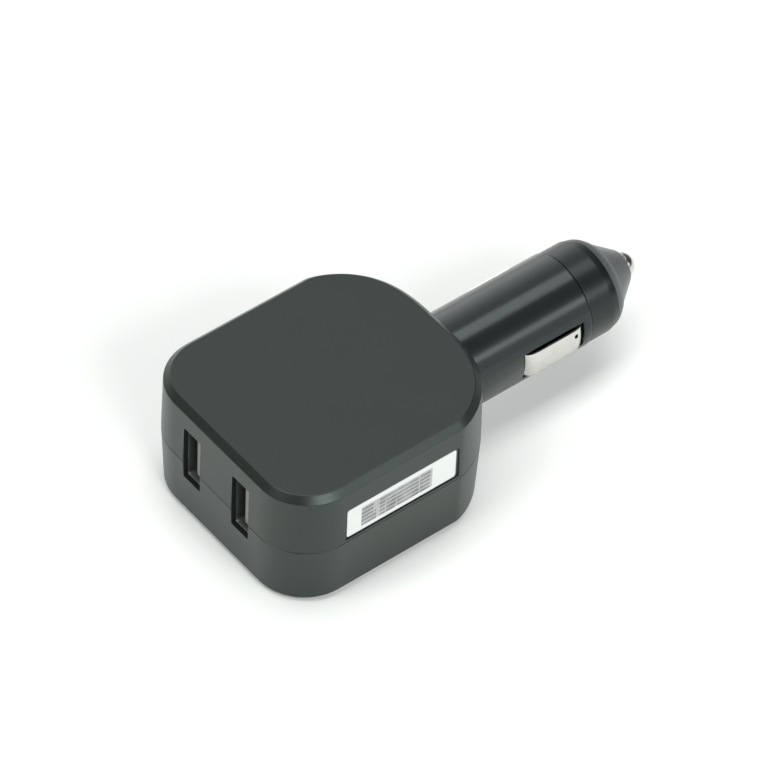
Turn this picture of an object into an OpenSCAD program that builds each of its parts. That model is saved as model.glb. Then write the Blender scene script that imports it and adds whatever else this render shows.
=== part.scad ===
// Twin-port vehicle socket charger: a flat two-shell head with a plug barrel.
// Origin: on the plug's axis, at the shoulder where the barrel leaves the head.
// +Y points out along the plug, +Z up; the head lies behind the origin. Millimetres.

/* [Head] */
// Width of the head at the parting line
head_w = 50.4; // [46:0.2:60]
// Length of the head from the port face to the shoulder
head_len = 55.6; // [52:0.2:66]
// Height of the head
head_h = 30; // [28:0.5:36]
// Plan radius of the two corners at the port face
corner_r = 11.6; // [6:0.2:14]
// Depth of the bowed rear side, from the straight walls to the shoulder
rear_bow = 14.7; // [10:0.1:18]
// Squareness of the bow across the width
bow_across = 3.2; // [2.4:0.1:4]
// Squareness of the bow along the length
bow_along = 1.4; // [1.3:0.05:2]
// Draft of the upper shell's wall, in all
upper_draft = 0.3; // [0:0.05:0.8]
// Draft of the lower shell's wall, in all
lower_draft = 0.6; // [0:0.05:1]
// Width of the chamfer round the top
top_chamfer = 1.4; // [0.6:0.1:2]
// Width of the chamfer round the bottom
bottom_chamfer = 1.4; // [0.6:0.1:2]
// Thickness of the shells
wall = 2; // [1.6:0.1:2.4]
// Depth of the V-shaped groove along the parting line
seam = 0.2; // [0.1:0.05:0.4]
// Height of the lip that keys the two shells together
lip_h = 1.2; // [0.8:0.1:2]

/* [Plug] */
// Diameter of the barrel
barrel_d = 20.8; // [20:0.1:21.2]
// Length of the barrel from the shoulder to the collar
barrel_len = 31; // [30.6:0.1:36]
// Thickness of the barrel's wall
barrel_wall = 1.7; // [1.2:0.1:2]
// Length of the threaded neck under the collar
neck_len = 4; // [3:0.1:4.4]
// Diameter of the flange that locks the barrel into the head
flange_d = 25.6; // [24.4:0.1:27]
// Thickness of that flange
flange_t = 1.6; // [1:0.1:2]
// Diameter of the collar over its straight land
collar_d = 20.4; // [20.2:0.1:20.4]
// Length of the collar
collar_len = 9.7; // [9:0.1:10.4]
// Length of the collar's straight land
collar_land = 5.8; // [4:0.1:6]
// Length of the round shoulder at the collar's front
collar_shoulder = 2.5; // [2:0.1:3]
// Diameter of the collar where its shoulder starts
collar_front_d = 19.7; // [19.2:0.1:20]
// Diameter of the nose where it leaves the collar
nose_d = 16.3; // [15:0.1:16.6]
// Length of the nose in front of the collar
nose_len = 6.2; // [5:0.1:8]
// Diameter of the nose's flat end
nose_end_d = 7.8; // [7.6:0.1:9]

/* [Contacts] */
// Diameter of the tip contact's pin
tip_d = 5.6; // [4:0.1:5.6]
// How far the tip contact stands out of the nose
tip_out = 2.8; // [2.4:0.1:4]
// Distance from the barrel's front edge back to the side contacts' bow
side_gap = 2.6; // [2.4:0.1:3]
// Length of a side contact's bow
side_len = 14.4; // [10:0.1:14.8]
// Width of a side contact round the barrel, in degrees
side_angle = 34; // [24:1:40]
// Height of the bow over the barrel
side_out = 0.75; // [0.5:0.05:1.2]
// Flatness of the bow's crown
bow_flat = 4; // [2:0.5:6]
// Thickness of the contact sheet
sheet_t = 0.5; // [0.3:0.05:0.7]
// Diameter of the fuse
fuse_d = 5.2; // [4.8:0.1:5.4]
// Length of the fuse
fuse_len = 20; // [16:0.5:21]
// Length of each fuse cap
fuse_cap_len = 5; // [4:0.1:6]
// Thickness of the sleeve round the fuse
sleeve_wall = 1.2; // [1:0.1:1.6]

/* [Ports] */
// Distance of each port's middle from the plug's plane
port_x = 7.7; // [6.4:0.1:9]
// Height of the ports' middle over the plug's axis
port_z = 2.65; // [2:0.05:3.4]
// Width of the opening in the port face
slot_w = 5.3; // [5:0.1:5.6]
// Height of the opening in the port face
slot_h = 13.9; // [13.2:0.1:14.2]
// Depth of the metal shell's mouth behind the port face
can_sink = 1.3; // [0.8:0.1:1.6]
// Depth of the metal shell
can_len = 17; // [12:0.5:18]
// Thickness of the metal shell
can_t = 0.3; // [0.2:0.05:0.4]
// Thickness of the contact tongue
tongue_t = 1.4; // [1.2:0.1:1.8]

/* [Label] */
// Length of the label
label_len = 26.8; // [18:0.2:28]
// Height of the label
label_h = 7.6; // [5:0.1:8]
// Distance from the port face to the label
label_y = 12.9; // [12:0.1:14]
// Height of the label's lower edge over the parting line
label_z = 1; // [0.8:0.1:2]

/* [Board] */
// Thickness of the circuit board
board_t = 1.6; // [1:0.1:2]
// Length of the circuit board
board_len = 40; // [36:0.5:41]
// Diameter of the choke
choke_d = 12; // [9:0.2:13]
// Height of the choke
choke_h = 7; // [5:0.2:9]
// Diameter of the input capacitor
cap_in_d = 8; // [6:0.1:8.4]
// Height of the input capacitor
cap_in_h = 12; // [8:0.5:13]
// Diameter of the output capacitor
cap_out_d = 6.3; // [5:0.1:6.6]
// Height of the output capacitor
cap_out_h = 9; // [6:0.5:12]

/* [Hidden] */
$fn = 72;
eps = 0.01;

// Clearances
fit = 0.1;
slide_fit = 0.15;
seat = 0.05;

// Head
half_h = head_h / 2;
arc_steps = 8;
bow_steps = 32;
lip_t = 0.8;
lip_in = wall - lip_t;

// Barrel
barrel_r = barrel_d / 2;
bore_r = barrel_r - barrel_wall;
neck_r = barrel_r - 1;
barrel_back = -6;
barrel_root_r = barrel_r - 0.6;
flange_y = -4.6;
cradle_back = -6.4;
cradle_w = flange_d + 4;

// Collar and nose
collar_r = collar_d / 2;
neck_end = barrel_len + neck_len;
collar_y = barrel_len + fit;
collar_end = barrel_len + collar_len;
nose_r = nose_d / 2;
nose_flange_r = neck_r;
nose_flange_y = neck_end + seat;
nose_flange_t = 1.4;
collar_lip_y = nose_flange_y + nose_flange_t + seat;
nose_end = collar_end + nose_len;
lip_land = 0.15;
soft_edge = 0.2;

// Tip contact, fuse and spring, in line along the axis
tip_r = tip_d / 2;
tip_end = nose_end + tip_out;
tip_flange_r = tip_r + 0.6;
sink_r = tip_r + 0.75;
sink_depth = 0.6;
tip_seat_y = nose_end - 3.4;
tip_back = nose_flange_y + 0.6;
fuse_r = fuse_d / 2;
fuse_front = tip_back - seat;
fuse_back = fuse_front - fuse_len;
fuse_cap_t = 0.2;
fuse_cap_end = 0.55;
fuse_glass_t = 0.8;
fuse_link_r = 0.25;
sleeve_in_r = fuse_r + slide_fit;
sleeve_r = sleeve_in_r + sleeve_wall;
sleeve_front = neck_end - 1.9;
plate_t = 0.5;
plate_y = 4.4;
sleeve_back = plate_y - 1.4;
web_t = 3;
spring_wire_r = 0.35;
spring_r = fuse_r - spring_wire_r - 0.3;
spring_turns = 6;
spring_back = plate_y + plate_t + seat;
spring_front = fuse_back - seat;
spring_pitch = (spring_front - spring_back - 2 * spring_wire_r) / spring_turns;

// Side contacts
side_y = barrel_len - side_gap - side_len / 2;
bow_crown_r = barrel_r + side_out;
bow_foot_r = barrel_r - 0.5;
tab_r = bore_r - fit;
tab_len = 1.4;
window_gap = 0.5;
window_h = 2 * (bow_crown_r * sin(side_angle / 2)) + 2 * 0.3;
window_len = side_len + 2 * window_gap;
hole_r = 0.5;
hole_turn = 9;
hole_back = 2.2;
rail_w = 3;
rail_t = 0.4;

// Ports
can_front = -head_len + can_sink;
can_rim = 0.2;
can_w = slot_w + 2 * can_rim;
can_h = slot_h + 2 * can_rim;
can_bottom = port_z - can_h / 2;
window_fit = 0.1;
finger_y = [5, 9];
finger_w = 1.8;
tongue_h = 11;
tongue_x = 0.3;
tongue_front = can_front + 0.4;
tongue_block = 5;
blade_t = 0.2;
blade_w = 1.2;
blade_pitch = 2.3;
blade_count = 4;

// Label
label_t = 0.15;
label_sink = 0.2;
label_floor = head_w / 2 - label_sink;
label_back = -head_len + label_y;

// Board
board_top = can_bottom - 0.1;
board_bottom = board_top - board_t;
board_front = -head_len + wall + 1;
board_back = board_front + board_len;
board_inset = wall + 1.2;
post_r = 2.2;
peg_r = 0.9;
post_x = 17.6;
post_ys = [board_front + 11, board_back - 4];

// Parts on the board
choke_rim = 1.2;
winding_wire_r = 0.3;
part_y = can_front + can_len;
choke_at = [-11.5, part_y + 8.4];
cap_in_at = [10.5, part_y + 10.4];
cap_out_at = [15.6, part_y + 2.8];
converter_at = [1.6, part_y + 5.2];
port_chip_at = [-1, part_y + 11.6];
diode_at = [-16.5, part_y + 17.4];
resistor_at = [1.5, part_y + 15.6];
chip_cap_at = [-7.5, part_y + 15];

// Plan of the head, drawn in by inset: two round front corners and a bowed rear side
function head_plan(inset) =
    let(w = head_w / 2 - inset, r = corner_r - inset, y = -head_len + corner_r,
        d = rear_bow - inset, cx = head_w / 2 - corner_r)
    concat(
        [for (k = [0 : arc_steps]) let(a = 180 + 90 * k / arc_steps) [-cx + r * cos(a), y + r * sin(a)]],
        [for (k = [0 : arc_steps]) let(a = 270 + 90 * k / arc_steps) [cx + r * cos(a), y + r * sin(a)]],
        [for (k = [0 : bow_steps]) let(a = 180 * k / bow_steps)
            [w * sign(cos(a)) * pow(abs(cos(a)), 2 / bow_across), -rear_bow + d * pow(sin(a), 2 / bow_along)]]);

// Inset of the outer wall at height z, from the draft
function wall_inset(z) = z > 0
    ? upper_draft * min(1, z / (half_h - top_chamfer))
    : lower_draft * min(1, -z / (half_h - bottom_chamfer));

// Solid through plan outlines, each given as [height, inset]
module stacked(levels) {
    plans = [for (l = levels) [for (p = head_plan(l[1])) [p.x, p.y, l[0]]]];
    n = len(plans[0]);
    last = (len(levels) - 1) * n;
    polyhedron(
        points = [for (plan = plans, p = plan) p],
        faces = concat(
            [[for (k = [0 : n - 1]) k]],
            [[for (k = [n - 1 : -1 : 0]) last + k]],
            [for (l = [0 : len(levels) - 2], k = [0 : n - 1]) let(a = l * n + k, b = l * n + (k + 1) % n)
                [a, a + n, b]],
            [for (l = [0 : len(levels) - 2], k = [0 : n - 1]) let(a = l * n + k, b = l * n + (k + 1) % n)
                [b, a + n, b + n]]));
}

// Cylinder along +Y from y0 to y1
module rod(r, y0, y1, x = 0, z = 0) {
    translate([x, y0, z]) rotate([-90, 0, 0]) cylinder(r = r, h = y1 - y0);
}

// Profile of [radius, y] points turned about the plug's axis
module turned(profile) {
    rotate([-90, 0, 0]) rotate_extrude() polygon(profile);
}

// Box given by its low and high corners
module block(lo, hi) {
    translate(lo) cube(hi - lo);
}

// Openings in the port face, with a wider pocket behind each for the metal shell
module port_windows() {
    for (side = [-1, 1], cut = [[slot_w / 2, slot_h / 2, -head_len - 1],
            [can_w / 2 + window_fit, can_h / 2 + window_fit, can_front - seat]])
        block([side * port_x - cut[0], cut[2], port_z - cut[1]],
            [side * port_x + cut[0], -head_len + wall + 1, port_z + cut[1]]);
}

// Groove, bore and inner bore that take the barrel's root
module barrel_seat() {
    rod(barrel_r + fit, flange_y - eps, 2);
    rod(flange_d / 2 + fit, flange_y - fit, flange_y + flange_t + fit);
    rod(barrel_root_r + fit, cradle_back - 1, flange_y);
}

module cradle(side) {
    intersection() {
        stacked(side > 0
            ? [[0, wall - seat], [half_h - wall + seat, wall + upper_draft]]
            : [[-half_h + wall - seat, wall + lower_draft], [0, wall - seat]]);
        block([-cradle_w / 2, cradle_back, side > 0 ? 0 : -half_h], [cradle_w / 2, 0, side > 0 ? half_h : 0]);
    }
}

module lower_shell_body() {
    difference() {
        union() {
            difference() {
                stacked([[-half_h, lower_draft + bottom_chamfer], [-half_h + bottom_chamfer, lower_draft],
                    [-seam, 0], [0, seam]]);
                stacked([[-half_h + wall, wall + lower_draft], [1, wall]]);
            }
            linear_extrude(lip_h) difference() {
                polygon(head_plan(lip_in + seat));
                polygon(head_plan(wall));
            }
            cradle(-1);
            for (side = [-1, 1], y = post_ys) {
                translate([side * post_x, y, -half_h + wall - eps])
                    cylinder(r = post_r, h = board_bottom + half_h - wall + eps);
                translate([side * post_x, y, board_bottom - eps]) cylinder(r = peg_r, h = board_t + 0.6);
            }
        }
        barrel_seat();
        port_windows();
    }
}

module lower_housing() {
    color([0.17, 0.19, 0.185]) lower_shell_body();
}

// Shallow pocket, a little larger than the label
module label_pocket() {
    block([label_floor - wall_inset(label_z + label_h), label_back - 0.3, label_z - 0.5],
        [head_w / 2 + 1, label_back + label_len + 0.7, label_z + label_h + 0.2]);
}

module upper_housing() {
    color([0.17, 0.19, 0.185]) difference() {
        union() {
            difference() {
                stacked([[0, seam], [seam, 0], [half_h - top_chamfer, upper_draft],
                    [half_h, upper_draft + top_chamfer]]);
                stacked([[-1, wall], [half_h - wall, wall + upper_draft]]);
                translate([0, 0, -1]) linear_extrude(1 + lip_h + fit) polygon(head_plan(lip_in));
            }
            difference() {
                cradle(1);
                translate([0, 0, -1]) linear_extrude(1 + lip_h + fit) difference() {
                    polygon(head_plan(0));
                    polygon(head_plan(wall + fit));
                }
            }
            for (side = [-1, 1])
                block([side * port_x - 1, can_front + 4, port_z + can_h / 2 + seat],
                    [side * port_x + 1, can_front + can_len - 2, half_h - wall + eps]);
        }
        barrel_seat();
        port_windows();
        label_pocket();
    }
}

module label() {
    x = label_floor - wall_inset(label_z + label_h);
    color([0.93, 0.93, 0.92])
        block([x, label_back, label_z], [x + label_t, label_back + label_len, label_z + label_h]);
}

module plug_barrel() {
    color([0.09, 0.1, 0.1]) difference() {
        turned([[bore_r, barrel_back], [bore_r, neck_end], [neck_r - soft_edge, neck_end],
            [neck_r, neck_end - soft_edge], [neck_r, barrel_len], [barrel_r - soft_edge, barrel_len],
            [barrel_r, barrel_len - soft_edge],
            [barrel_r, flange_y + flange_t], [flange_d / 2, flange_y + flange_t], [flange_d / 2, flange_y],
            [barrel_root_r, flange_y], [barrel_root_r, barrel_back]]);
        block([-barrel_r - 1, side_y - window_len / 2, -window_h / 2],
            [barrel_r + 1, side_y + window_len / 2, window_h / 2]);
    }
}

module collar_ring() {
    steps = 6;
    front_r = collar_front_d / 2;
    lip_r = nose_r + fit;
    drop = front_r - lip_r - lip_land;
    shoulder_y = collar_end - collar_shoulder;
    color([0.09, 0.1, 0.1]) turned(concat(
        [[neck_r + fit, collar_y], [collar_r - soft_edge, collar_y], [collar_r, collar_y + soft_edge],
            [collar_r, collar_y + collar_land]],
        [for (k = [0 : steps]) let(t = k / steps) [front_r - drop * t * t, shoulder_y + collar_shoulder * t]],
        [[lip_r, collar_end], [lip_r, collar_lip_y], [neck_r + fit, collar_lip_y]]));
}

// Insulating cone with a flange under the collar and a countersunk mouth for the tip contact
module nose_cone() {
    color([0.13, 0.14, 0.14]) turned([[tip_flange_r + slide_fit, nose_flange_y],
        [nose_flange_r, nose_flange_y], [nose_flange_r, nose_flange_y + nose_flange_t],
        [nose_r, nose_flange_y + nose_flange_t], [nose_r, collar_end],
        [nose_end_d / 2, nose_end], [sink_r, nose_end], [tip_r + slide_fit, nose_end - sink_depth],
        [tip_r + slide_fit, tip_seat_y], [tip_flange_r + slide_fit, tip_seat_y]]);
}

module tip_contact() {
    steps = 8;
    dome = tip_r;
    color([0.8, 0.8, 0.78]) turned(concat(
        [[0, tip_back], [tip_flange_r, tip_back], [tip_flange_r, tip_seat_y - seat],
            [tip_r, tip_seat_y - seat]],
        [for (k = [0 : steps]) let(a = 90 * k / steps)
            [tip_r * cos(a), tip_end - dome + dome * sin(a)]]));
}

// Wire along a helix about the plug's axis, with closed end turns
module tip_spring() {
    sides = 6;
    per_turn = 14;
    rings = spring_turns * per_turn;
    y0 = spring_back + spring_wire_r;
    function centre(k) = let(a = 360 * k / per_turn)
        [spring_r * cos(a), y0 + spring_pitch * k / per_turn, spring_r * sin(a)];
    function ring(k) = let(a = 360 * k / per_turn, c = centre(k))
        [for (s = [0 : sides - 1]) let(b = 360 * s / sides)
            c + spring_wire_r * [cos(b) * cos(a), sin(b), cos(b) * sin(a)]];
    color([0.7, 0.7, 0.7]) polyhedron(
        points = [for (k = [0 : rings], p = ring(k)) p],
        faces = concat(
            [[for (s = [sides - 1 : -1 : 0]) s]],
            [[for (s = [0 : sides - 1]) rings * sides + s]],
            [for (k = [0 : rings - 1], s = [0 : sides - 1])
                let(a = k * sides + s, b = k * sides + (s + 1) % sides) [a, b, a + sides]],
            [for (k = [0 : rings - 1], s = [0 : sides - 1])
                let(a = k * sides + s, b = k * sides + (s + 1) % sides) [b, b + sides, a + sides]]));
}

module spring_plate() {
    color([0.75, 0.73, 0.65]) rod(sleeve_in_r - seat, plate_y, plate_y + plate_t);
}

module tip_lead() {
    lead_r = 0.7;
    bend = 2;
    drop_y = board_back - 2;
    color([0.65, 0.1, 0.08]) {
        rod(lead_r, drop_y + bend, plate_y - seat);
        translate([0, drop_y + bend, -bend]) rotate([90, 0, 90]) rotate([0, 0, 90])
            rotate_extrude(angle = 90) translate([bend, 0]) circle(r = lead_r, $fn = 32);
        translate([0, drop_y, board_top + seat]) cylinder(r = lead_r, h = -bend - board_top - seat);
    }
}

module fuse_glass() {
    color([0.8, 0.9, 0.9, 0.5]) difference() {
        rod(fuse_r - fuse_cap_t - seat, fuse_back + fuse_cap_end + seat, fuse_front - fuse_cap_end - seat);
        rod(fuse_r - fuse_glass_t, fuse_back, fuse_front);
    }
}

module fuse_caps() {
    color([0.78, 0.78, 0.75]) for (ends = [[fuse_back, fuse_back + fuse_cap_len],
            [fuse_front - fuse_cap_len, fuse_front]]) difference() {
        rod(fuse_r, ends[0], ends[1]);
        rod(fuse_r - fuse_cap_t, fuse_back + fuse_cap_end, fuse_front - fuse_cap_end);
    }
}

module fuse_link() {
    color([0.7, 0.7, 0.7]) rod(fuse_link_r, fuse_back + fuse_cap_end + seat, fuse_front - fuse_cap_end - seat);
}

// Insulating sleeve round the fuse, with two webs that seat in the barrel's bore
module inner_sleeve() {
    color([0.2, 0.2, 0.21]) difference() {
        union() {
            rod(sleeve_r, sleeve_back, sleeve_front);
            intersection() {
                rod(bore_r - seat, sleeve_back, sleeve_front);
                block([-web_t / 2, sleeve_back, -bore_r], [web_t / 2, sleeve_front, bore_r]);
            }
        }
        rod(sleeve_in_r, plate_y - eps, sleeve_front + 1);
        rod(1, sleeve_back - 1, plate_y);
    }
}

// Bowed spring contact on the +X side: a strip that follows the barrel's curve
module side_contact(side) {
    half = side_len / 2;
    steps = 10;
    tab_end = half + window_gap + tab_len;
    outer = concat(
        [[tab_r, -tab_end], [tab_r, -half], [bow_foot_r, -half]],
        [for (k = [1 : steps - 1]) let(y = -half + side_len * k / steps)
            [bow_foot_r + (bow_crown_r - bow_foot_r) * (1 - pow(abs(y / half), bow_flat)), y]],
        [[bow_foot_r, half], [tab_r, half], [tab_r, tab_end]]);
    inner = [for (k = [len(outer) - 1 : -1 : 0]) let(p = outer[k])
        [p.x - sheet_t, abs(p.y) >= half && abs(p.y) < tab_end ? p.y - sign(p.y) * sheet_t : p.y]];
    color([0.83, 0.83, 0.8]) translate([0, side_y, 0]) mirror([side > 0 ? 0 : 1, 0, 0]) difference() {
        rotate([-90, 0, 0]) rotate([0, 0, -side_angle / 2])
            rotate_extrude(angle = side_angle) polygon(concat(outer, inner));
        translate([0, half - hole_back, 0]) rotate([0, 90 - hole_turn, 0])
            cylinder(r = hole_r, h = bow_crown_r + 1, $fn = 32);
    }
}

module side_contact_left() { side_contact(-1); }

module side_contact_right() { side_contact(1); }

// Strip beside the sleeve that brings a side contact's current to the board
module ground_rail(side) {
    x = sleeve_r + seat;
    rail_back = board_back - 3;
    color([0.75, 0.73, 0.65]) mirror([side > 0 ? 0 : 1, 0, 0]) {
        block([x, rail_back, -rail_w / 2], [x + rail_t, sleeve_front - 1, rail_w / 2]);
        block([x, rail_back, board_top + seat], [x + rail_t, rail_back + rail_w, rail_w / 2]);
    }
}

module ground_rail_left() { ground_rail(-1); }

module ground_rail_right() { ground_rail(1); }

module main_board() {
    color([0.1, 0.35, 0.2]) difference() {
        translate([0, 0, board_bottom]) linear_extrude(board_t) intersection() {
            polygon(head_plan(board_inset));
            translate([-head_w / 2, board_front]) square([head_w, board_len]);
        }
        for (side = [-1, 1], y = post_ys)
            translate([side * post_x, y, board_bottom - 1]) cylinder(r = peg_r + fit, h = board_t + 2);
    }
}

// Folded metal shell of a port, open at the mouth
module usb_shell(side) {
    w = can_w / 2;
    h = can_h / 2;
    back = can_front + can_len;
    color([0.72, 0.73, 0.73]) translate([side * port_x, 0, port_z]) difference() {
        block([-w, can_front, -h], [w, back, h]);
        block([-w + can_t, can_front - 1, -h + can_t], [w - can_t, back - can_t, h - can_t]);
        for (wall_side = [-1, 1])
            block([wall_side * w - 1, can_front + finger_y[0], -h / 2 - finger_w / 2],
                [wall_side * w + 1, can_front + finger_y[1], -h / 2 + finger_w / 2]);
    }
}

module usb_shell_left() { usb_shell(-1); }

module usb_shell_right() { usb_shell(1); }

// Insulator of a port: a block at the back and the tongue that carries the contacts
module usb_tongue(side) {
    w = can_w / 2 - can_t - seat;
    h = can_h / 2 - can_t - seat;
    back = can_front + can_len - can_t - seat;
    color([0.9, 0.9, 0.88]) translate([side * port_x, 0, port_z]) difference() {
        union() {
            block([-w, back - tongue_block, -h], [w, back, h]);
            block([tongue_x - tongue_t / 2, tongue_front, -tongue_h / 2],
                [tongue_x + tongue_t / 2, back - tongue_block + eps, tongue_h / 2]);
        }
        for (k = [0 : blade_count - 1])
            translate([tongue_x - tongue_t / 2, 0, (k - (blade_count - 1) / 2) * blade_pitch])
                block([-1, tongue_front + 1, -blade_w / 2 - seat],
                    [blade_t + seat, back - tongue_block - 0.5, blade_w / 2 + seat]);
    }
}

module usb_tongue_left() { usb_tongue(-1); }

module usb_tongue_right() { usb_tongue(1); }

// Four contact blades in the tongue's grooves
module usb_contacts(side) {
    back = can_front + can_len - can_t - seat;
    color([0.85, 0.7, 0.35]) for (k = [0 : blade_count - 1])
        translate([side * port_x + tongue_x - tongue_t / 2, 0, port_z + (k - (blade_count - 1) / 2) * blade_pitch])
            block([0, tongue_front + 1.1, -blade_w / 2], [blade_t, back - tongue_block - 0.6, blade_w / 2]);
}

module usb_contacts_left() { usb_contacts(-1); }

module usb_contacts_right() { usb_contacts(1); }

// Drum core with two flanges
module choke_core() {
    r = choke_d / 2;
    color([0.25, 0.25, 0.26]) translate([choke_at.x, choke_at.y, board_top + seat]) {
        cylinder(r = r, h = choke_rim);
        cylinder(r = r * 0.45, h = choke_h);
        translate([0, 0, choke_h - choke_rim]) cylinder(r = r, h = choke_rim);
    }
}

module choke_winding() {
    r = choke_d / 2;
    span = choke_h - 2 * choke_rim - 2 * seat;
    turns = floor(span / (2 * winding_wire_r));
    color([0.72, 0.38, 0.18]) translate([choke_at.x, choke_at.y, board_top + 2 * seat + choke_rim])
        rotate_extrude() union() {
            translate([r * 0.45 + seat, 0]) square([r * 0.4, span]);
            for (k = [0 : turns - 1]) translate([r * 0.85 + seat, span * (k + 0.5) / turns]) circle(r = winding_wire_r, $fn = 16);
        }
}

// Wound capacitor standing on the board, with its sleeve turned in at the top
module capacitor(d, h, at) {
    r = d / 2;
    translate([at.x, at.y, board_top + seat]) difference() {
        rotate_extrude() polygon([[0, 0], [r - 0.3, 0], [r, 0.3], [r, 1], [r - 0.35, 1.3], [r, 1.6],
            [r, h - 0.5], [r - 0.5, h], [0, h]]);
        for (a = [0, 60, 120]) rotate([0, 0, a]) block([-r * 0.6, -0.1, h - 0.2], [r * 0.6, 0.1, h + 1]);
    }
}

module input_capacitor() {
    color([0.1, 0.12, 0.3]) capacitor(cap_in_d, cap_in_h, cap_in_at);
}

module output_capacitor() {
    color([0.1, 0.12, 0.3]) capacitor(cap_out_d, cap_out_h, cap_out_at);
}

// Flat moulded chip with bent legs on two sides
module chip(l, w, h, legs, pitch, at) {
    leg = 0.35;
    reach = 0.9;
    translate([at.x, at.y, board_top + seat]) {
        block([-l / 2, -w / 2, 0.15], [l / 2, w / 2, h]);
        for (k = [0 : legs - 1], side = [-1, 1]) {
            x = (k - (legs - 1) / 2) * pitch;
            block([x - leg / 2, side > 0 ? w / 2 - eps : -w / 2 - reach, 0],
                [x + leg / 2, side > 0 ? w / 2 + reach : -w / 2 + eps, 0.25]);
        }
    }
}

module converter_chip() {
    color([0.14, 0.14, 0.15]) chip(4.9, 3.9, 1.5, 4, 1.27, converter_at);
}

module port_chip() {
    color([0.14, 0.14, 0.15]) chip(2.9, 1.6, 1.1, 3, 0.95, port_chip_at);
}

module diode() {
    color([0.16, 0.16, 0.17]) chip(4.3, 2.6, 2.2, 1, 1, diode_at);
}

// Row of small blocks with metal ends
module chip_row(count, l, w, h, at) {
    for (k = [0 : count - 1])
        translate([at.x + k * (w + 0.9), at.y, board_top + seat]) block([0, -l / 2, 0], [w, l / 2, h]);
}

module chip_resistors() {
    color([0.12, 0.12, 0.12]) chip_row(4, 1.6, 0.8, 0.45, resistor_at);
}

module chip_capacitors() {
    color([0.7, 0.6, 0.45]) chip_row(4, 2, 1.25, 0.9, chip_cap_at);
}

lower_housing();
upper_housing();
label();
plug_barrel();
collar_ring();
nose_cone();
tip_contact();
tip_spring();
spring_plate();
tip_lead();
fuse_glass();
fuse_caps();
fuse_link();
inner_sleeve();
side_contact_left();
side_contact_right();
ground_rail_left();
ground_rail_right();
main_board();
usb_shell_left();
usb_shell_right();
usb_tongue_left();
usb_tongue_right();
usb_contacts_left();
usb_contacts_right();
choke_core();
choke_winding();
input_capacitor();
output_capacitor();
converter_chip();
port_chip();
diode();
chip_resistors();
chip_capacitors();
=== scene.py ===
"""Twin-port vehicle socket charger: a flat two-shell head with a plug barrel, on a pale floor."""
import math

import bmesh
import bpy
from mathutils import Matrix, Vector


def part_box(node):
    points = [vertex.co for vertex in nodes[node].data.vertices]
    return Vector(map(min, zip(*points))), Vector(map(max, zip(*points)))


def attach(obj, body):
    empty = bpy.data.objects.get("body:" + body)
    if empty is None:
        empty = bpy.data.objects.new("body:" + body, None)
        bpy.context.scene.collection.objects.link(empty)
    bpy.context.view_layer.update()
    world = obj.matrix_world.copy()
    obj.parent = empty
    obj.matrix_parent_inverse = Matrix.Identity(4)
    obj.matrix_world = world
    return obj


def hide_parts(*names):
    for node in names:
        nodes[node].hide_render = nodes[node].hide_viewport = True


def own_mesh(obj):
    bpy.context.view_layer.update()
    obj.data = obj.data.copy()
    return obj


# Sizes are in millimetres and angles in degrees, except where a comment says metres
MM = 0.001
SMOOTH_ANGLE = 30

# Gap between pieces that fit each other, and how far a cutter reaches past what it cuts
FIT = 0.1
OVERCUT = 1

# Distances in metres under which points are one, on a drawn line and on a finished mesh
LINE_MERGE = 1e-6
MESH_MERGE = 2e-6

# Head
HEAD_W = 50.4
HEAD_LEN = 55.6
HALF_H = 15.0
CORNER_R = 11.6
REAR_BOW = 14.7
BOW_ACROSS = 3.2
BOW_ALONG = 1.4
UPPER_DRAFT = 0.3
LOWER_DRAFT = 0.6
CHAMFER = 1.4
EDGE_R = 0.35
FACE_RIM = 1.5
WALL = 2.0
SEAM_IN = 0.16
SEAM_H = 0.1
SEAM_R = 0.04
LIP_H = 1.2
LIP_INSET = 1.2
LIP_GAP = 0.05

# Block inside the head's rear, in which both shells hold the barrel
SEAT_Y = (-6.4, -2.7)
SEAT_HALF_W = 14.8
SEAT_GAP = 0.05

# Label and its pocket
LABEL_R = 0.6
LABEL_EDGE = 0.04
POCKET_SHIFT = (0.2, -0.15)
POCKET_ROOM = (1.0, 0.7)
POCKET_R = 0.5
POCKET_WALL = 0.22
POCKET_DEPTH = 0.4
POCKET_FLARE = (1.01, 1.04)

# Barrel
BARREL_R = 10.4
BORE_R = 8.7
NECK_R = 9.4
ROOT_R = 9.8
FLANGE_R = 12.8
FLANGE_Y = -4.6
FLANGE_T = 1.6
BARREL_BACK = -6.0
FLANGE_EDGE_R = 0.2
NECK_EDGE_R = 0.3
WINDOW_ROOM = 0.5
WINDOW_EDGE = 0.16

# Strips of a turned piece, and those that the window takes to each side of its middle, outside and inside
TURNS = 160
WINDOW_STRIPS_OUT = 8
WINDOW_STRIPS_IN = 10

# Collar and nose
COLLAR_SEAM_R = 0.22
COLLAR_R = 10.2
COLLAR_LAND = 5.8
COLLAR_LAND_END = 0.5
COLLAR_FRONT_R = 9.85
COLLAR_LIP_W = 0.15
COLLAR_LIP_LEN = 4.2
SHOULDER = 2.5
SHOULDER_CURVE = 1.7
# From the shoulder's start, where the collar turns matt and is painted paler as a highlight band
SHOULDER_MATT_AND_SHEEN_FROM = 0.1
NOSE_R = 8.15
NOSE_EDGE_R = 0.3
NOSE_END_R = 3.75
NOSE_END_BACK = 0.35
NOSE_END_EDGE_R = 0.5
NOSE_MOUTH_W = 0.45
NOSE_MOUTH_BACK = 0.3
NOSE_MOUTH_DEPTH = 0.75
NOSE_FLANGE_R = 9.4
NOSE_FLANGE_T = 1.4
NOSE_BORE_FIT = 0.15
NOSE_SEAT = 3.4

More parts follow.
